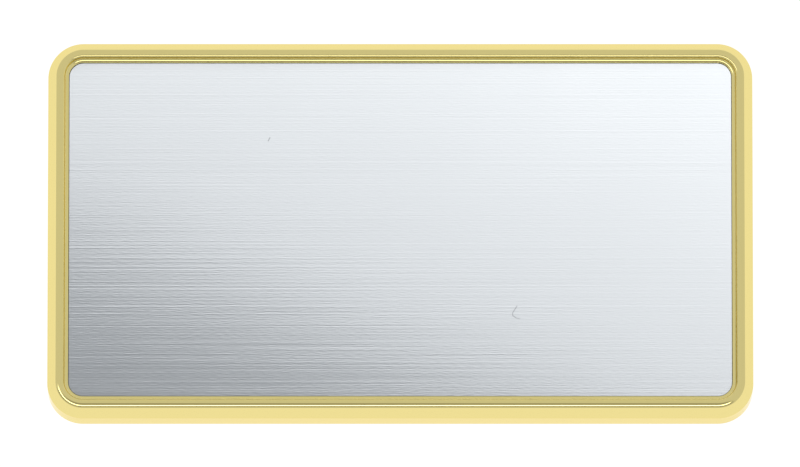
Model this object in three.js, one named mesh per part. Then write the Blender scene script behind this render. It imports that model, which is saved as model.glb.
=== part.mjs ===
// A framed name badge, lying face up on its fastener.
// A moulded tray with a polished gold rim holds a brushed silver face plate, and a plain magnet bar is
// bonded to the middle of its back. The bar's back face lies on z = 0, +X runs along the badge, +Y points
// to the top of its face and +Z out of it. Lengths are in millimetres.
import * as THREE from "three";

// The face plate, a nominal 3 by 1 1/2 inch insert, with a little room round it and a film under it.
const PLATE_LENGTH = 76.2;
const PLATE_HEIGHT = 39.12;
const PLATE_THICKNESS = 1.0;
const PLATE_CORNER_RADIUS = 1.65;
const PLATE_EDGE_RADIUS = 0.04;
const EDGE_CLEARANCE = 0.04;
const BED_CLEARANCE = 0.15;

// The frame's moulding, from its outside edge inwards: an upright side, a steep bevel, a flat rim, and
// a lip that drops into a hollow cove. The cove runs out in a narrow ledge, which falls towards the plate
// and ends a little above its face.
const BEVEL_WIDTH = 1.1;
const BEVEL_RISE = 1.7;
const RIM_WIDTH = 0.75;
const LIP_WIDTH = 0.55;
const LIP_DRAFT = 0.16;
const LIP_DEPTH = 0.9;
const LEDGE_FALL = 0.09;
const FACE_DEPTH = 0.12;
const FLOOR_THICKNESS = 3.15;
const BACK_EDGE_RADIUS = 0.35;
const SHOULDER_RADIUS = 0.6;
const RIM_OUTER_RADIUS = 0.8;
const RIM_INNER_RADIUS = 0.27;
const COVE_RADIUS = 0.42;
const LEDGE_EDGE_RADIUS = 0.04;

// The magnet bar and the film that bonds it to the frame's back.
const BAR_LENGTH = 45;
const BAR_HEIGHT = 13;
const BAR_THICKNESS = 3;
const BAR_CORNER_RADIUS = 2;
const BAR_EDGE_RADIUS = 0.4;
const BOND_CLEARANCE = 0.15;

// Facets to a quarter turn of a corner, divisions of an edge's arc, the share of a stretch that the arcs
// at its two ends may take between them, and how many radii in from an edge a flat face starts.
const CORNER_STEPS = 10;
const ARC_DIVISIONS = 2;
const ARC_SHARE = 0.9;
const FLAT_START = 3;

// What follows from the plate and the moulding.
const RECESS_LENGTH = PLATE_LENGTH + 2 * EDGE_CLEARANCE;
const RECESS_HEIGHT = PLATE_HEIGHT + 2 * EDGE_CLEARANCE;
const RECESS_CORNER_RADIUS = PLATE_CORNER_RADIUS + EDGE_CLEARANCE;
const RIM_END = BEVEL_WIDTH + RIM_WIDTH;
const BORDER_WIDTH = RIM_END + LIP_WIDTH;
const FRAME_CORNER_RADIUS = RECESS_CORNER_RADIUS + BORDER_WIDTH;
const FRAME_LENGTH = RECESS_LENGTH + 2 * BORDER_WIDTH;
const FRAME_HEIGHT = RECESS_HEIGHT + 2 * BORDER_WIDTH;
const LEDGE_LEVEL = FLOOR_THICKNESS + BED_CLEARANCE + PLATE_THICKNESS + FACE_DEPTH;
const FRAME_THICKNESS = LEDGE_LEVEL + LIP_DEPTH;
const SHOULDER_LEVEL = FRAME_THICKNESS - BEVEL_RISE;

// Levels of the frame's back and the plate's.
const FRAME_BASE = BAR_THICKNESS + BOND_CLEARANCE;
const PLATE_BASE = FRAME_BASE + FLOOR_THICKNESS + BED_CLEARANCE;

// The section of an edge, as points of inset and level. Each corner between the first row and the last
// becomes an arc of its radius. Where two arcs don't fit on the stretch between them, both are smaller.
function roundedSection(rows) {
  const corners = rows.map(({ inset, level }) => new THREE.Vector2(inset, level));
  const stretches = corners.slice(1).map((corner, i) => corner.clone().sub(corners[i]));
  const slopes = stretches.slice(1).map((onward, i) => {
    const back = stretches[i].clone().negate();
    return Math.tan(Math.abs(Math.atan2(back.cross(onward), back.dot(onward))) / 2);
  });
  const wishes = [0, ...slopes.map((slope, i) => rows[i + 1].radius / slope), 0];
  const fits = stretches.map((stretch, i) => (ARC_SHARE * stretch.length()) / (wishes[i] + wishes[i + 1]));

  const path = new THREE.Path().moveTo(corners[0].x, corners[0].y);
  for (let i = 1; i < rows.length - 1; i++) {
    const slope = slopes[i - 1];
    const reach = wishes[i] * Math.min(1, fits[i - 1], fits[i]);
    const start = stretches[i - 1].clone().negate().setLength(reach);
    const end = stretches[i].clone().setLength(reach);
    const toCentre = start.clone().add(end).setLength(reach * Math.hypot(1, slope));
    const centre = corners[i].clone().add(toCentre);
    start.sub(toCentre);
    end.sub(toCentre);
    const clockwise = start.cross(end) < 0;
    path.absarc(centre.x, centre.y, reach * slope, start.angle(), end.angle(), clockwise);
  }
  const last = corners[corners.length - 1];
  path.lineTo(last.x, last.y);
  return path.getPoints(ARC_DIVISIONS);
}

// One loop of a rounded rectangle about the origin, anticlockwise.
function roundedRectangle(length, height, radius) {
  const quarterTurn = Math.PI / 2;
  const loop = [];
  for (let quarter = 0; quarter < 4; quarter++) {
    const diagonal = (quarter + 1 / 2) * quarterTurn;
    const centreX = Math.sign(Math.cos(diagonal)) * (length / 2 - radius);
    const centreY = Math.sign(Math.sin(diagonal)) * (height / 2 - radius);
    for (let step = 0; step <= CORNER_STEPS; step++) {
      const angle = (quarter + step / CORNER_STEPS) * quarterTurn;
      loop.push([centreX + radius * Math.cos(angle), centreY + radius * Math.sin(angle)]);
    }
  }
  return loop;
}

// A closed solid whose outline is a rounded rectangle and whose edge has the given section all the way
// round. The section starts on the flat underside and ends on the flat top, or on the floor of a tray.
function edgedSlab(length, height, cornerRadius, section) {
  const positions = [];
  for (const { x: inset, y: level } of section) {
    const loop = roundedRectangle(length - 2 * inset, height - 2 * inset, cornerRadius - inset);
    loop.forEach(([x, y]) => positions.push(x, y, level));
  }
  const around = positions.length / 3 / section.length;
  const undersideCentre = around * section.length;
  const topCentre = undersideCentre + 1;
  positions.push(0, 0, section[0].y, 0, 0, section[section.length - 1].y);

  const faces = [];
  const lastLoop = around * (section.length - 1);
  for (let i = 0; i < around; i++) {
    const next = (i + 1) % around;
    faces.push(undersideCentre, next, i, topCentre, lastLoop + i, lastLoop + next);
    for (let below = 0; below < lastLoop; below += around) {
      const above = below + around;
      faces.push(below + i, below + next, above + next, below + i, above + next, above + i);
    }
  }
  const geometry = new THREE.BufferGeometry();
  geometry.setAttribute("position", new THREE.Float32BufferAttribute(positions, 3));
  geometry.setIndex(faces);
  geometry.computeVertexNormals();
  return geometry;
}

// A plain slab whose upper and lower edges are rounded alike.
function plainSlab(length, height, thickness, cornerRadius, edgeRadius) {
  const section = roundedSection([
    { inset: FLAT_START * edgeRadius, level: 0 },
    { inset: 0, level: 0, radius: edgeRadius },
    { inset: 0, level: thickness, radius: edgeRadius },
    { inset: FLAT_START * edgeRadius, level: thickness },
  ]);
  return edgedSlab(length, height, cornerRadius, section);
}

// The frame is a shallow tray, closed at the back.
function makeFrame() {
  const section = roundedSection([
    { inset: FLAT_START * BACK_EDGE_RADIUS, level: 0 },
    { inset: 0, level: 0, radius: BACK_EDGE_RADIUS },
    { inset: 0, level: SHOULDER_LEVEL, radius: SHOULDER_RADIUS },
    { inset: BEVEL_WIDTH, level: FRAME_THICKNESS, radius: RIM_OUTER_RADIUS },
    { inset: RIM_END, level: FRAME_THICKNESS, radius: RIM_INNER_RADIUS },
    { inset: RIM_END + LIP_DRAFT, level: LEDGE_LEVEL + LEDGE_FALL, radius: COVE_RADIUS },
    { inset: BORDER_WIDTH, level: LEDGE_LEVEL, radius: LEDGE_EDGE_RADIUS },
    { inset: BORDER_WIDTH, level: FLOOR_THICKNESS },
  ]);
  const geometry = edgedSlab(FRAME_LENGTH, FRAME_HEIGHT, FRAME_CORNER_RADIUS, section);
  const polishedGold = new THREE.MeshStandardMaterial({ color: 0xefdf97, roughness: 0.08, metalness: 1 });
  const frame = new THREE.Mesh(geometry, polishedGold);
  frame.name = "frame";
  frame.position.z = FRAME_BASE;
  return frame;
}

// The plate lies in the recess with its face a little below the ledge.
function makeFacePlate() {
  const geometry = plainSlab(
    PLATE_LENGTH,
    PLATE_HEIGHT,
    PLATE_THICKNESS,
    PLATE_CORNER_RADIUS,
    PLATE_EDGE_RADIUS,
  );
  const brushedSilver = new THREE.MeshStandardMaterial({ color: 0xdde1e4, roughness: 0.4, metalness: 1 });
  const plate = new THREE.Mesh(geometry, brushedSilver);
  plate.name = "face_plate";
  plate.position.z = PLATE_BASE;
  return plate;
}

// The bar is the fastener's half that stays on the badge.
function makeMagnetBar() {
  const geometry = plainSlab(BAR_LENGTH, BAR_HEIGHT, BAR_THICKNESS, BAR_CORNER_RADIUS, BAR_EDGE_RADIUS);
  const nickel = new THREE.MeshStandardMaterial({ color: 0xb9b8b4, roughness: 0.3, metalness: 1 });
  const bar = new THREE.Mesh(geometry, nickel);
  bar.name = "magnet_bar";
  return bar;
}

const badge = new THREE.Group();
badge.add(makeFrame(), makeFacePlate(), makeMagnetBar());

export default badge;
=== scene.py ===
import math

import bpy
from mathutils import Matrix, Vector


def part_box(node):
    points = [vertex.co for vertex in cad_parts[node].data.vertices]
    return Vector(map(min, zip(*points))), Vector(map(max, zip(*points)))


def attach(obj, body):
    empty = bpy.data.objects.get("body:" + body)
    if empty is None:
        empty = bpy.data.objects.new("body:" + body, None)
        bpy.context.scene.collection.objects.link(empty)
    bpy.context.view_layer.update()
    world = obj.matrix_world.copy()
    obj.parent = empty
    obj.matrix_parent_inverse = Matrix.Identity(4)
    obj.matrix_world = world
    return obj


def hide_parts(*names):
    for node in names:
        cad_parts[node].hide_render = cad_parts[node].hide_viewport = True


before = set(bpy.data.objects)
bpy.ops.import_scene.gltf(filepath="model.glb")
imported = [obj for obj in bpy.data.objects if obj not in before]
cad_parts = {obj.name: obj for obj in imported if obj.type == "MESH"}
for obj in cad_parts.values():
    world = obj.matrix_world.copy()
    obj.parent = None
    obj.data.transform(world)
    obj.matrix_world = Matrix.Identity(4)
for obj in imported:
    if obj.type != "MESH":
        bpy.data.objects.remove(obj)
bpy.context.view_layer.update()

MM = 0.001

# The frame's moulding, from its outside edge inwards: an upright side, a steep bevel, a flat rim, and
# a lip that drops into a hollow cove, which runs out in a narrow ledge that falls towards the plate.
BEVEL_WIDTH = 1.1 * MM
BEVEL_RISE = 1.7 * MM
RIM_WIDTH = 0.75 * MM
LIP_WIDTH = 0.55 * MM
LIP_DRAFT = 0.16 * MM
LIP_DEPTH = 0.9 * MM
LEDGE_FALL = 0.09 * MM
FLOOR_THICKNESS = 3.15 * MM
RECESS_CORNER_RADIUS = 1.69 * MM
BACK_EDGE_RADIUS = 0.35 * MM
SHOULDER_RADIUS = 0.6 * MM
RIM_OUTER_RADIUS = 0.8 * MM
RIM_INNER_RADIUS = 0.27 * MM
COVE_RADIUS = 0.42 * MM
LEDGE_EDGE_RADIUS = 0.04 * MM
FLOOR_EDGE_RADIUS = 0.1 * MM

# The corners and edges of the face plate and the magnet bar.
PLATE_CORNER_RADIUS = 1.65 * MM
PLATE_EDGE_RADIUS = 0.04 * MM
BAR_CORNER_RADIUS = 2 * MM
BAR_EDGE_RADIUS = 0.4 * MM

# Facets to an edge's arc and to a quarter turn of a corner, the share of a stretch that the arcs at its
# two ends may take between them, and the narrow strip beside an arc that keeps the flat next to it flat.
ARC_STEPS = 12
CORNER_STEPS = 28
ARC_SHARE = 0.9
FLAT_STRIP = 0.01 * MM

# A corner smaller than the first counts as a point, and points nearer than the second are one.
SMALLEST_CORNER = 0.001 * MM
MERGE_DISTANCE = 0.0001 * MM

# The photograph's view: a long lens, a little below square to the face.
CAMERA_TILT = math.radians(12)
CAMERA_DISTANCE = 2.4
SENSOR_WIDTH = 36
PHOTO_WIDTH = 800
PHOTO_HEIGHT = 467
FACE_WIDTH_ON_PHOTO = 662.9
FACE_CENTRE_ON_PHOTO = (400.3, 229.4)

# Brushed lines in layers. A layer has the length, width and height of its lines, as multiples of a
# groove's, and their place on the noise. The waves are the sheet's broad unevenness.
GROOVE_LAYERS = [(0.5, 1.0, 1.0, 0.3), (1.2, 1.7, 1.7, 1.1), (1.6, 3.2, 1.8, 2.7)]
WAVE_LAYERS = [(2.0, 10.0, 10.0, 3.9), (2.4, 34.0, 34.0, 5.3)]

# The fine grain between the lines: its length in grooves, and its place on the noise.
GRAIN_LENGTH = 0.06
GRAIN_PLACE = 6.7

# A layer's lines show only in patches, so that each starts and ends somewhere. A patch is so many lines
# wide, lies so far along the noise from them, and fades in over these levels of it.
PATCH_WIDTH = 2
PATCH_SHIFT = 7.7
PATCH_FADE = (0.36, 0.58)

# The plate's brushing: a groove's length, width and height, the share of the waves, and what the height is
# multiplied by towards the lower left and the upper right. The change runs up and to the right, square to
# the soft boxes' edges, between these distances from the plate's middle.
GROOVE_LENGTH = 14 * MM
GROOVE_WIDTH = 0.12 * MM
GROOVE_HEIGHT = 0.013 * MM
WAVE_SHARE = 0.12
DEEP_SHARE = 1.3
SHALLOW_SHARE = 0.5
DEEP_FROM = -20 * MM
SHALLOW_FROM = 9 * MM

# The magnet bar's grinding.
BAR_GROOVE_LENGTH = 4 * MM
BAR_GROOVE_WIDTH = 0.08 * MM
BAR_GROOVE_HEIGHT = 0.001 * MM

# The gold's slight ripple, as a moulded piece has under its plating.
RIPPLE_LENGTH = 4 * MM
RIPPLE_HEIGHT = 0.004 * MM

# Where the noise turns into smears and into dulled spots, and how many spots lie side by side in a smear.
SMEAR_FADE = (0.35, 0.7)
SPOT_FADE = (0.62, 0.75)
SPOTS_ACROSS_SMEAR = 9

# Each finish's smears: their size, its clean roughness and what they add to that. Spots add to the gold's
# roughness and darken the nickel to this share of its colour.
GOLD_SMEAR = 9 * MM
GOLD_ROUGHNESS = 0.045
GOLD_SMEARED = 0.035
GOLD_SPOTTED = 0.03
SILVER_SMEAR = 14 * MM
SILVER_ROUGHNESS = 0.32
SILVER_SMEARED = 0.02
NICKEL_SMEAR = 5 * MM
NICKEL_ROUGHNESS = 0.28
NICKEL_SMEARED = 0.1
NICKEL_SPOT_SHADE = 0.75

# How far the silver's gloss is drawn out, and the quarter turn that draws it out across the brushing.
SILVER_ANISOTROPY = 0.8
QUARTER_TURN = 0.25

# Marks on the face plate, a fleck and then a hair-like scratch: their width, the share of the silver's
# colour that is left in them, and each stroke's two ends and strength.
MARK_WIDTH = 0.1 * MM
MARK_SHADE = 0.4
PLATE_MARKS = [
    ((-15.2 * MM, 10.4 * MM), (-15.0 * MM, 10.8 * MM), 0.8),
    ((13.4 * MM, -9.0 * MM), (12.9 * MM, -9.8 * MM), 0.7),
    ((12.9 * MM, -9.8 * MM), (12.9 * MM, -10.1 * MM), 0.7),
    ((12.9 * MM, -10.1 * MM), (13.3 * MM, -10.4 * MM), 0.7),
    ((13.3 * MM, -10.4 * MM), (13.7 * MM, -10.5 * MM), 0.5),
]

# The two soft boxes over the plate. Each has its height above the face, its power, and the place on Y
# where its lower edge is mirrored in the middle of the plate.
BOX_LENGTH = 150 * MM
BOX_DEPTH = 90 * MM
BOX_TURN = math.radians(-21)
BOX_COLOUR = (1.0, 0.985, 0.963)
SOFT_BOXES = {
    "lower_soft_box": (28 * MM, 0.051, -17 * MM),
    "upper_soft_box": (53 * MM, 0.036, 19 * MM),
}

# The room's light: its level in general, in the shade in front and in the bright band across that. Each
# pair is where an edge of the shade or the band starts and ends. Heads and feet are measured from overhead
# and left and right sides from straight in front. The back is how far forward a direction points.
ROOM_LEVEL = 0.75
SHADE_LEVEL = 0.41
BAND_LEVEL = 4.0
SHADE_BACK = (0.02, 0.2)
SHADE_FOOT = (math.radians(66), math.radians(84))
SHADE_RIGHT = (math.radians(36), math.radians(50))
BAND_HEAD = (math.radians(39), math.radians(43))
BAND_FOOT = (math.radians(50), math.radians(54))
BAND_LEFT = (math.radians(-100), math.radians(-80))
BAND_RIGHT = (math.radians(30), math.radians(44))

# The table top: how far it reaches to each side, the share of the light that it gives back, and its glow.
TABLE_REACH = 6
TABLE_GREY = 0.12
TABLE_GLOW = 0.96

# Colours as linear light. The room's light is a little cooler than the soft boxes'.
ROOM_COLOUR = (0.985, 1.005, 1.03, 1)
WHITE = (1, 1, 1, 1)
GOLD = (0.81, 0.69, 0.28, 1)
GOLD_AT_GRAZING = (1.0, 0.93, 0.70, 1)
SILVER = (0.385, 0.402, 0.419, 1)
NICKEL = (0.60, 0.58, 0.55, 1)


def plug(tree, socket, value):
    """Sets a socket's value, or links another node's output to it."""
    if isinstance(value, bpy.types.NodeSocket):
        tree.links.new(value, socket)
    else:
        socket.default_value = value


def add(tree, kind, inputs=None, **settings):
    """Adds a node with these settings, and with these values or outputs on its inputs."""
    made = tree.nodes.new(kind)
    for name, value in settings.items():
        setattr(made, name, value)
    for key, value in (inputs or {}).items():
        plug(tree, made.inputs[key], value)
    return made


def calc(tree, operation, *values):
    """Adds a Math node and gives its output."""
    made = add(tree, "ShaderNodeMath", operation=operation)
    for socket, value in zip(made.inputs, values):
        plug(tree, socket, value)
    return made.outputs[0]


def ramp(tree, value, low, high, at_low=0.0, at_high=1.0):
    """Goes smoothly from at_low to at_high while value goes from low to high."""
    limits = {"Value": value, "From Min": low, "From Max": high, "To Min": at_low, "To Max": at_high}
    return add(tree, "ShaderNodeMapRange", limits, interpolation_type="SMOOTHSTEP").outputs["Result"]


# A Mix node's sockets are numbered here, because those for numbers and for colours have the same names.
def blend(tree, share, plain, other):
    """Mixes two numbers."""
    return add(tree, "ShaderNodeMix", {0: share, 2: plain, 3: other}, data_type="FLOAT").outputs[0]


def blend_colour(tree, share, plain, other):
    """Mixes two colours."""
    return add(tree, "ShaderNodeMix", {0: share, 6: plain, 7: other}, data_type="RGBA").outputs[2]


def overlap(tree, *masks):
    """The mask that is 1 where all of these are."""
    whole = masks[0]
    for mask in masks[1:]:
        whole = calc(tree, "MULTIPLY", whole, mask)
    return whole


def plug_by_name(tree, made, inputs):
    """Fills a node's inputs where it has several of each name, one for each type of data, and uses one."""
    for name, value in inputs.items():
        used = next(socket for socket in made.inputs if socket.name == name and socket.enabled)
        plug(tree, used, value)


# Lofted shapes

def rounded_section(rows):
    """The section of an edge as points of inset and level. A row is a corner's inset, level and radius.

    Where two arcs don't fit on the stretch between them, both are smaller.
    """
    corners = [Vector(row[:2]) for row in rows]
    stretches = [after - before for before, after in zip(corners, corners[1:])]
    slopes = [math.tan(back.angle(-onward) / 2) for back, onward in zip(stretches, stretches[1:])]
    wishes = [0] + [row[2] / slope for row, slope in zip(rows[1:], slopes)] + [0]
    fits = [ARC_SHARE * stretch.length / sum(wishes[i:i + 2]) for i, stretch in enumerate(stretches)]
    points = [corners[0]]
    for i in range(1, len(rows) - 1):
        back = -stretches[i - 1]
        onward = stretches[i]
        slope = slopes[i - 1]
        reach = wishes[i] * min(1, fits[i - 1], fits[i])
        start = back.normalized() * reach
        end = onward.normalized() * reach
        centre = (start + end).normalized() * reach * math.hypot(1, slope)
        spoke = start - centre
        first_angle = math.atan2(spoke.y, spoke.x)
        turn = -spoke.angle_signed(end - centre)
        points.append(corners[i] + start + back.normalized() * FLAT_STRIP)
        for step in range(ARC_STEPS + 1):
            angle = first_angle + turn * step / ARC_STEPS
            arm = Vector((math.cos(angle), math.sin(angle))) * spoke.length
            points.append(corners[i] + centre + arm)
        points.append(corners[i] + end + onward.normalized() * FLAT_STRIP)
    points.append(corners[-1])
    return points


def make_loft_tree():
    """Geometry Nodes that carry a section, held as inset on X and level on Z, round a rounded rectangle."""
    tree = bpy.data.node_groups.new("rounded loft", "GeometryNodeTree")
    tree.is_modifier = True
    tree.interface.new_socket("Geometry", in_out="OUTPUT", socket_type="NodeSocketGeometry")
    tree.interface.new_socket("Section", in_out="INPUT", socket_type="NodeSocketGeometry")
    tree.interface.new_socket("Centre", in_out="INPUT", socket_type="NodeSocketVector")
    for name in ("Length", "Height", "Corner Radius", "Flat Strip"):
        tree.interface.new_socket(name, in_out="INPUT", socket_type="NodeSocketFloat")
    tree.interface.new_socket("Corner Steps", in_out="INPUT", socket_type="NodeSocketInt")
    tree.interface.new_socket("Material", in_out="INPUT", socket_type="NodeSocketMaterial")
    given = tree.nodes.new("NodeGroupInput").outputs
    steps = given["Corner Steps"]
    radius = given["Corner Radius"]
    place = tree.nodes.new("GeometryNodeInputPosition").outputs[0]

    # A grid with a row of points for each of the section's and a column for each place along the outline.
    # A corner has one column more than its facets, and one beside it at either end. The last column of all
    # lies on the first.
    counts = add(tree, "GeometryNodeAttributeDomainSize", {"Geometry": given["Section"]}).outputs
    rows = counts["Point Count"]
    columns_to_corner = calc(tree, "ADD", steps, 3)
    columns = calc(tree, "MULTIPLY_ADD", columns_to_corner, 4, 1)
    grid = add(tree, "GeometryNodeMeshGrid", {"Vertices X": columns, "Vertices Y": rows})
    index = tree.nodes.new("GeometryNodeInputIndex").outputs[0]
    row = calc(tree, "MODULO", index, rows)
    column = calc(tree, "FLOOR", calc(tree, "DIVIDE", index, rows))

    def section_point(row_number):
        sample = add(tree, "GeometryNodeSampleIndex", data_type="FLOAT_VECTOR", domain="POINT")
        plug_by_name(tree, sample, {"Geometry": given["Section"], "Value": place, "Index": row_number})
        return add(tree, "ShaderNodeSeparateXYZ", {"Vector": sample.outputs[0]}).outputs

    # The corner's quarter, and how far round it the column lies.
    quarter = calc(tree, "FLOOR", calc(tree, "DIVIDE", column, columns_to_corner))
    step = calc(tree, "MODULO", column, columns_to_corner)
    share = calc(tree, "DIVIDE", calc(tree, "SUBTRACT", step, 1), steps)
    turned = calc(tree, "MINIMUM", calc(tree, "MAXIMUM", share, 0), 1)
    angle = calc(tree, "MULTIPLY", calc(tree, "ADD", quarter, turned), math.pi / 2)
    cosine = calc(tree, "COSINE", angle)
    sine = calc(tree, "SINE", angle)
    diagonal = calc(tree, "MULTIPLY", calc(tree, "ADD", quarter, 0.5), math.pi / 2)

    # A row whose inset takes up the whole corner radius shrinks to the corner's centre.
    section = section_point(row)
    arm = calc(tree, "SUBTRACT", radius, section["X"])
    beside = calc(tree, "MULTIPLY", calc(tree, "SUBTRACT", share, turned), steps)
    beside = calc(tree, "MULTIPLY", beside, given["Flat Strip"])
    beside = calc(tree, "MULTIPLY", beside, calc(tree, "GREATER_THAN", arm, SMALLEST_CORNER))
    half_length = calc(tree, "SUBTRACT", calc(tree, "DIVIDE", given["Length"], 2), radius)
    half_height = calc(tree, "SUBTRACT", calc(tree, "DIVIDE", given["Height"], 2), radius)
    centre_x = calc(tree, "MULTIPLY", calc(tree, "SIGN", calc(tree, "COSINE", diagonal)), half_length)
    centre_y = calc(tree, "MULTIPLY", calc(tree, "SIGN", calc(tree, "SINE", diagonal)), half_height)
    arc_x = calc(tree, "MULTIPLY_ADD", arm, cosine, centre_x)
    arc_y = calc(tree, "MULTIPLY_ADD", arm, sine, centre_y)
    x = calc(tree, "SUBTRACT", arc_x, calc(tree, "MULTIPLY", beside, sine))
    y = calc(tree, "ADD", arc_y, calc(tree, "MULTIPLY", beside, cosine))
    spot = add(tree, "ShaderNodeCombineXYZ", {"X": x, "Y": y, "Z": section["Z"]}).outputs[0]
    wall = add(tree, "GeometryNodeSetPosition", {"Geometry": grid.outputs["Mesh"], "Position": spot})

    # A plain rectangle closes each end of the section. The one at its start looks down.
    def cap(row_number, looks_down):
        size_x = calc(tree, "MULTIPLY", half_length, 2)
        size_y = calc(tree, "MULTIPLY", half_height, 2)
        sizes = {"Size X": size_x, "Size Y": size_y, "Vertices X": 2, "Vertices Y": 2}
        flat = add(tree, "GeometryNodeMeshGrid", sizes).outputs["Mesh"]
        level = add(tree, "ShaderNodeCombineXYZ", {"Z": section_point(row_number)["Z"]}).outputs[0]
        placed = add(tree, "GeometryNodeTransform", {"Geometry": flat, "Translation": level}).outputs[0]
        if looks_down:
            placed = add(tree, "GeometryNodeFlipFaces", {"Mesh": placed}).outputs[0]
        return placed

    joined = tree.nodes.new("GeometryNodeJoinGeometry")
    for source in (cap(calc(tree, "SUBTRACT", rows, 1), False), cap(0, True), wall.outputs[0]):
        tree.links.new(source, joined.inputs[0])
    welding = {"Geometry": joined.outputs[0], "Distance": MERGE_DISTANCE}
    merged = add(tree, "GeometryNodeMergeByDistance", welding)
    moved = add(tree, "GeometryNodeSetPosition", {"Geometry": merged.outputs[0], "Offset": given["Centre"]})
    smooth = add(tree, "GeometryNodeSetShadeSmooth", {"Geometry": moved.outputs[0]}).outputs[0]
    stored = add(tree, "GeometryNodeStoreNamedAttribute", data_type="FLOAT2", domain="CORNER")
    plug_by_name(tree, stored, {"Geometry": smooth, "Name": "UVMap", "Value": place})
    real = add(tree, "GeometryNodeRealizeInstances", {"Geometry": stored.outputs[0]}).outputs[0]
    finished = add(tree, "GeometryNodeSetMaterial", {"Geometry": real, "Material": given["Material"]})
    tree.links.new(finished.outputs[0], tree.nodes.new("NodeGroupOutput").inputs[0])
    return tree


def loft_piece(name, node, rows, corner_radius, material):
    """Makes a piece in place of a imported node: the section goes round the node's own box."""
    low, high = (Vector(corner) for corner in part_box(node))
    points = rounded_section(rows)
    line = bpy.data.meshes.new(name + "_section")
    edges = [(i, i + 1) for i in range(len(points) - 1)]
    line.from_pydata([(inset, 0, level) for inset, level in points], edges, [])
    piece = bpy.data.objects.new(name, line)
    bpy.context.scene.collection.objects.link(piece)
    modifier = piece.modifiers.new("rounded loft", "NODES")
    modifier.node_group = LOFT
    values = {
        "Centre": ((low.x + high.x) / 2, (low.y + high.y) / 2, low.z),
        "Length": high.x - low.x,
        "Height": high.y - low.y,
        "Corner Radius": corner_radius,
        "Flat Strip": FLAT_STRIP,
        "Corner Steps": CORNER_STEPS,
        "Material": material,
    }
    for socket, value in values.items():
        modifier[LOFT.interface.items_tree[socket].identifier] = value
    evaluated = piece.evaluated_get(bpy.context.evaluated_depsgraph_get())
    mesh = bpy.data.meshes.new_from_object(evaluated)
    piece.modifiers.remove(modifier)
    piece.data = mesh
    mesh.name = name
    bpy.data.meshes.remove(line)
    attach(piece, "root")
    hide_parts(node)
    return piece


# Finishes shared by the materials

def new_group(name, inputs, outputs):
    """Starts a shader group. Inputs give each number's usual value, and vectors have none."""
    tree = bpy.data.node_groups.new(name, "ShaderNodeTree")
    for socket, value in inputs.items():
        kind = "NodeSocketVector" if value is None else "NodeSocketFloat"
        made = tree.interface.new_socket(socket, in_out="INPUT", socket_type=kind)
        if value is not None:
            made.default_value = value
    for socket in outputs:
        tree.interface.new_socket(socket, in_out="OUTPUT", socket_type="NodeSocketFloat")
    given = tree.nodes.new("NodeGroupInput").outputs
    given_back = tree.nodes.new("NodeGroupOutput").inputs
    return tree, given, given_back


def noise(tree, place, fineness, detail):
    """Noise with so many cells to a metre along each axis."""
    scaled = add(tree, "ShaderNodeVectorMath", {0: place, 1: fineness}, operation="MULTIPLY").outputs[0]
    values = {"Vector": scaled, "Scale": 1, "Detail": detail}
    return add(tree, "ShaderNodeTexNoise", values).outputs["Fac"]


def make_streaks_group():
    """Brushing along X. Grooves is the height of the fine lines, Waves that of the broad unevenness."""
    sizes = {"Vector": None, "Groove Length": GROOVE_LENGTH, "Groove Width": GROOVE_WIDTH}
    tree, given, given_back = new_group("brush streaks", sizes, ["Grooves", "Waves"])

    # Noise in cells so many grooves long and wide. Without a length they run right across the piece.
    def cells(length, width, shift):
        along = calc(tree, "DIVIDE", 1 / length, given["Groove Length"]) if length else 0
        across = calc(tree, "DIVIDE", 1 / width, given["Groove Width"])
        fineness = add(tree, "ShaderNodeCombineXYZ", {"X": along, "Y": across}).outputs[0]
        shifted = {0: given["Vector"], 1: (shift, shift, 0)}
        moved = add(tree, "ShaderNodeVectorMath", shifted, operation="ADD").outputs[0]
        return noise(tree, moved, fineness, detail=0)

    # Adds layers of straight lines to a height. Noise lies round 0.5, so that much comes off it.
    def with_lines(height, layers):
        for length, width, share, shift in layers:
            lines = calc(tree, "SUBTRACT", cells(None, width, shift), 0.5)
            patches = ramp(tree, cells(length, PATCH_WIDTH * width, shift + PATCH_SHIFT), *PATCH_FADE)
            shown = calc(tree, "MULTIPLY", lines, patches)
            height = calc(tree, "MULTIPLY_ADD", shown, share, height)
        return height

    grain = cells(GRAIN_LENGTH, 1, GRAIN_PLACE)
    plug(tree, given_back["Grooves"], with_lines(grain, GROOVE_LAYERS))
    plug(tree, given_back["Waves"], with_lines(0, WAVE_LAYERS))
    return tree


def make_scratch_group():
    """One straight stroke of a scratch on the XY plane: 1 on its line, falling to 0 at its width."""
    sizes = {"Vector": None, "Start": None, "End": None, "Width": MARK_WIDTH}
    tree, given, given_back = new_group("scratch stroke", sizes, ["Mask"])

    def vector(operation, *values, output="Vector"):
        made = add(tree, "ShaderNodeVectorMath", dict(enumerate(values)), operation=operation)
        return made.outputs[output]

    flat = vector("MULTIPLY", given["Vector"], (1, 1, 0))
    along = vector("SUBTRACT", given["End"], given["Start"])
    reached = vector("SUBTRACT", flat, given["Start"])
    dot = vector("DOT_PRODUCT", reached, along, output="Value")
    squared = vector("DOT_PRODUCT", along, along, output="Value")
    share = add(tree, "ShaderNodeClamp", {"Value": calc(tree, "DIVIDE", dot, squared)}).outputs[0]
    scaled = add(tree, "ShaderNodeVectorMath", {0: along, "Scale": share}, operation="SCALE").outputs[0]
    away = vector("DISTANCE", reached, scaled, output="Value")
    plug(tree, given_back["Mask"], ramp(tree, away, 0, given["Width"], 1, 0))
    return tree


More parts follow.
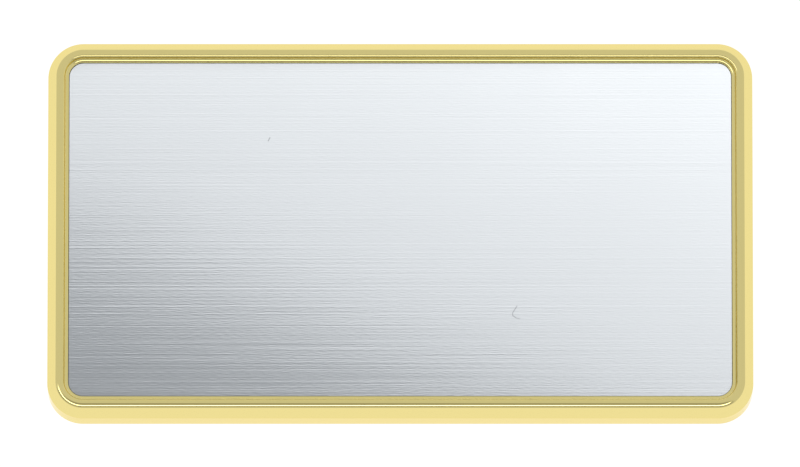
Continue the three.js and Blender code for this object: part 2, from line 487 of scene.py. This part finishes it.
def make_handling_group():
    """Slight smears and dulled spots from wiping and wear."""
    sizes = {"Vector": None, "Size": GOLD_SMEAR}
    tree, given, given_back = new_group("handling", sizes, ["Smears", "Spots"])
    fineness = calc(tree, "DIVIDE", 1, given["Size"])
    smears = noise(tree, given["Vector"], fineness, detail=3)
    plug(tree, given_back["Smears"], ramp(tree, smears, *SMEAR_FADE))
    finer = calc(tree, "MULTIPLY", fineness, SPOTS_ACROSS_SMEAR)
    spots = noise(tree, given["Vector"], finer, detail=2)
    plug(tree, given_back["Spots"], ramp(tree, spots, *SPOT_FADE))
    return tree


def use_group(tree, group, inputs):
    """Places a shared group in a material and gives its outputs."""
    made = tree.nodes.new("ShaderNodeGroup")
    made.node_tree = group
    for name, value in inputs.items():
        plug(tree, made.inputs[name], value)
    return made.outputs


def new_metal(name, colour):
    """Starts a metal's material."""
    material = bpy.data.materials.new(name)
    material.use_nodes = True
    tree = material.node_tree
    shader = tree.nodes["Principled BSDF"]
    shader.inputs["Base Color"].default_value = colour
    shader.inputs["Metallic"].default_value = 1
    place = tree.nodes.new("ShaderNodeTexCoord").outputs["Object"]
    return material, tree, shader, place


def raise_surface(tree, shader, height, depth):
    """Lets a pattern of heights, of which 1 is this depth, tilt the surface."""
    bump = add(tree, "ShaderNodeBump", {"Strength": 1, "Distance": depth, "Height": height})
    plug(tree, shader.inputs["Normal"], bump.outputs[0])


def darker(colour, share):
    """This share of a colour."""
    return tuple(share * part for part in colour[:3]) + (1,)


def polished_gold():
    """Pale gold plating over smooth moulded plastic, with hardly any wear."""
    material, tree, shader, place = new_metal("polished_gold", GOLD)
    shader.inputs["Specular Tint"].default_value = GOLD_AT_GRAZING
    handling = use_group(tree, HANDLING, {"Vector": place, "Size": GOLD_SMEAR})
    smeared = calc(tree, "MULTIPLY_ADD", handling["Smears"], GOLD_SMEARED, GOLD_ROUGHNESS)
    spotted = calc(tree, "MULTIPLY_ADD", handling["Spots"], GOLD_SPOTTED, smeared)
    plug(tree, shader.inputs["Roughness"], spotted)
    ripple = noise(tree, place, (1 / RIPPLE_LENGTH,) * 3, detail=1)
    raise_surface(tree, shader, ripple, RIPPLE_HEIGHT)
    return material


def brushed_silver():
    """Brushed metal sheet, with a small fleck and one hair-like scratch."""
    material, tree, shader, place = new_metal("brushed_silver", SILVER)
    grooves = {"Vector": place, "Groove Length": GROOVE_LENGTH, "Groove Width": GROOVE_WIDTH}
    streaks = use_group(tree, STREAKS, grooves)
    handling = use_group(tree, HANDLING, {"Vector": place, "Size": SILVER_SMEAR})
    marks = 0
    for start, end, strength in PLATE_MARKS:
        ends = {"Start": start + (0,), "End": end + (0,)}
        stroke = use_group(tree, SCRATCH, {"Vector": place, "Width": MARK_WIDTH} | ends)["Mask"]
        marks = calc(tree, "MAXIMUM", marks, calc(tree, "MULTIPLY", stroke, strength))
    plug(tree, shader.inputs["Base Color"], blend_colour(tree, marks, SILVER, darker(SILVER, MARK_SHADE)))
    smeared = calc(tree, "MULTIPLY_ADD", handling["Smears"], SILVER_SMEARED, SILVER_ROUGHNESS)
    plug(tree, shader.inputs["Roughness"], smeared)
    lines = calc(tree, "MULTIPLY_ADD", streaks["Waves"], WAVE_SHARE, streaks["Grooves"])
    upwards = {0: place, 1: (-math.sin(BOX_TURN), math.cos(BOX_TURN), 0)}
    up = add(tree, "ShaderNodeVectorMath", upwards, operation="DOT_PRODUCT").outputs["Value"]
    deepness = ramp(tree, up, DEEP_FROM, SHALLOW_FROM, DEEP_SHARE, SHALLOW_SHARE)
    raise_surface(tree, shader, calc(tree, "MULTIPLY", lines, deepness), GROOVE_HEIGHT)
    shader.inputs["Anisotropic"].default_value = SILVER_ANISOTROPY
    shader.inputs["Anisotropic Rotation"].default_value = QUARTER_TURN
    along = add(tree, "ShaderNodeTangent", direction_type="UV_MAP", uv_map="UVMap")
    plug(tree, shader.inputs["Tangent"], along.outputs[0])
    return material


def satin_nickel():
    """Nickel plating on the magnet bar, ground along its length."""
    material, tree, shader, place = new_metal("satin_nickel", NICKEL)
    grooves = {"Vector": place, "Groove Length": BAR_GROOVE_LENGTH, "Groove Width": BAR_GROOVE_WIDTH}
    streaks = use_group(tree, STREAKS, grooves)
    handling = use_group(tree, HANDLING, {"Vector": place, "Size": NICKEL_SMEAR})
    spotted = blend_colour(tree, handling["Spots"], NICKEL, darker(NICKEL, NICKEL_SPOT_SHADE))
    plug(tree, shader.inputs["Base Color"], spotted)
    smeared = calc(tree, "MULTIPLY_ADD", handling["Smears"], NICKEL_SMEARED, NICKEL_ROUGHNESS)
    plug(tree, shader.inputs["Roughness"], smeared)
    raise_surface(tree, shader, streaks["Grooves"], BAR_GROOVE_HEIGHT)
    return material


# The pieces

def make_frame():
    """The moulding with its closed back, one solid."""
    low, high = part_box("frame")
    top = high[2] - low[2]
    border = BEVEL_WIDTH + RIM_WIDTH + LIP_WIDTH
    corner_radius = RECESS_CORNER_RADIUS + border
    rows = [
        (corner_radius, 0, 0),
        (0, 0, BACK_EDGE_RADIUS),
        (0, top - BEVEL_RISE, SHOULDER_RADIUS),
        (BEVEL_WIDTH, top, RIM_OUTER_RADIUS),
        (BEVEL_WIDTH + RIM_WIDTH, top, RIM_INNER_RADIUS),
        (BEVEL_WIDTH + RIM_WIDTH + LIP_DRAFT, top - LIP_DEPTH + LEDGE_FALL, COVE_RADIUS),
        (border, top - LIP_DEPTH, LEDGE_EDGE_RADIUS),
        (border, FLOOR_THICKNESS, FLOOR_EDGE_RADIUS),
        (corner_radius, FLOOR_THICKNESS, 0),
    ]
    loft_piece("gold_frame", "frame", rows, corner_radius, polished_gold())


def slab_rows(thickness, corner_radius, edge_radius):
    """The section of a plain slab whose upper and lower edges are rounded alike."""
    return [
        (corner_radius, 0, 0),
        (0, 0, edge_radius),
        (0, thickness, edge_radius),
        (corner_radius, thickness, 0),
    ]


def make_face_plate():
    """The blank sheet in the moulding's recess."""
    low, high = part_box("face_plate")
    rows = slab_rows(high[2] - low[2], PLATE_CORNER_RADIUS, PLATE_EDGE_RADIUS)
    silver = brushed_silver()
    return loft_piece("brushed_plate", "face_plate", rows, PLATE_CORNER_RADIUS, silver)


def make_magnet_bar():
    """The half of the fastener that stays on the badge."""
    low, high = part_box("magnet_bar")
    rows = slab_rows(high[2] - low[2], BAR_CORNER_RADIUS, BAR_EDGE_RADIUS)
    loft_piece("nickel_bar", "magnet_bar", rows, BAR_CORNER_RADIUS, satin_nickel())


# The studio

def make_camera():
    """Puts the middle of the face where the photograph has it, at the photograph's scale."""
    low, high = (Vector(corner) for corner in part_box("face_plate"))
    pixel = (high.x - low.x) / FACE_WIDTH_ON_PHOTO
    face = Vector(((low.x + high.x) / 2, (low.y + high.y) / 2, high.z))
    right = (PHOTO_WIDTH / 2 - FACE_CENTRE_ON_PHOTO[0]) * pixel
    down = (PHOTO_HEIGHT / 2 - FACE_CENTRE_ON_PHOTO[1]) * pixel
    towards_camera = Vector((0, -math.sin(CAMERA_TILT), math.cos(CAMERA_TILT)))
    image_up = Vector((0, math.cos(CAMERA_TILT), math.sin(CAMERA_TILT)))
    aim = face + Vector((right, 0, 0)) - image_up * down
    data = bpy.data.cameras.new("camera")
    data.sensor_width = SENSOR_WIDTH
    data.lens = SENSOR_WIDTH * CAMERA_DISTANCE / (PHOTO_WIDTH * pixel)
    camera = bpy.data.objects.new("camera", data)
    camera.location = aim + towards_camera * CAMERA_DISTANCE
    camera.rotation_euler = (CAMERA_TILT, 0, 0)
    bpy.context.scene.collection.objects.link(camera)
    bpy.context.scene.camera = camera


def make_floor():
    """A white table top that glows enough to stay white round the badge, and is clear from below."""
    near = -TABLE_REACH
    far = TABLE_REACH
    mesh = bpy.data.meshes.new("floor")
    corners = [(near, near, 0), (far, near, 0), (far, far, 0), (near, far, 0)]
    mesh.from_pydata(corners, [], [(0, 1, 2, 3)])
    material = bpy.data.materials.new("white_table")
    material.use_nodes = True
    tree = material.node_tree
    shader = tree.nodes["Principled BSDF"]
    shader.inputs["Base Color"].default_value = darker(WHITE, TABLE_GREY)
    shader.inputs["Specular IOR Level"].default_value = 0
    shader.inputs["Roughness"].default_value = 1
    shader.inputs["Emission Color"].default_value = WHITE
    shader.inputs["Emission Strength"].default_value = TABLE_GLOW
    below = tree.nodes.new("ShaderNodeNewGeometry").outputs["Backfacing"]
    clear = tree.nodes.new("ShaderNodeBsdfTransparent").outputs[0]
    top = add(tree, "ShaderNodeMixShader", {0: below, 1: shader.outputs[0], 2: clear}).outputs[0]
    plug(tree, tree.nodes["Material Output"].inputs["Surface"], top)
    mesh.materials.append(material)
    floor = bpy.data.objects.new("floor", mesh)
    bpy.context.scene.collection.objects.link(floor)


def light_room():
    """The light by direction: soft white, with a shade in front and one bright band across it."""
    world = bpy.data.worlds.new("room")
    bpy.context.scene.world = world
    world.use_nodes = True
    tree = world.node_tree
    direction = tree.nodes.new("ShaderNodeTexCoord").outputs["Generated"]
    parts = add(tree, "ShaderNodeSeparateXYZ", {"Vector": direction}).outputs
    from_zenith = calc(tree, "ARCCOSINE", parts["Z"])
    front = calc(tree, "MULTIPLY", parts["Y"], -1)
    azimuth = calc(tree, "ARCTAN2", parts["X"], front)
    shade = overlap(
        tree,
        ramp(tree, front, *SHADE_BACK),
        ramp(tree, azimuth, *SHADE_RIGHT, 1, 0),
        ramp(tree, from_zenith, *SHADE_FOOT, 1, 0),
    )
    band = overlap(
        tree,
        ramp(tree, from_zenith, *BAND_HEAD),
        ramp(tree, from_zenith, *BAND_FOOT, 1, 0),
        ramp(tree, azimuth, *BAND_LEFT),
        ramp(tree, azimuth, *BAND_RIGHT, 1, 0),
    )
    background = tree.nodes["Background"]
    background.inputs["Color"].default_value = ROOM_COLOUR
    shaded = blend(tree, shade, ROOM_LEVEL, SHADE_LEVEL)
    plug(tree, background.inputs["Strength"], blend(tree, band, shaded, BAND_LEVEL))


def light_plate(plate):
    """Soft boxes close above the plate, up and to the right, whose lower edges run down to the right."""
    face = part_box("face_plate")[1][2]
    inwards = Vector((-math.sin(BOX_TURN), math.cos(BOX_TURN), 0))
    lit = bpy.data.collections.new("plate_light")
    lit.objects.link(plate)
    for name, (level, power, mirrored) in SOFT_BOXES.items():
        data = bpy.data.lights.new(name, "AREA")
        data.shape = "RECTANGLE"
        data.size = BOX_LENGTH
        data.size_y = BOX_DEPTH
        data.energy = power
        data.color = BOX_COLOUR
        box = bpy.data.objects.new(name, data)
        edge = Vector((0, mirrored + level * math.tan(CAMERA_TILT), face + level))
        box.location = edge + inwards * BOX_DEPTH / 2
        box.rotation_euler = (0, 0, BOX_TURN)
        box.visible_camera = False
        box.light_linking.receiver_collection = lit
        bpy.context.scene.collection.objects.link(box)


LOFT = make_loft_tree()
STREAKS = make_streaks_group()
SCRATCH = make_scratch_group()
HANDLING = make_handling_group()

make_frame()
light_plate(make_face_plate())
make_magnet_bar()
make_camera()
make_floor()
light_room()
bpy.context.scene.view_settings.view_transform = "Standard"
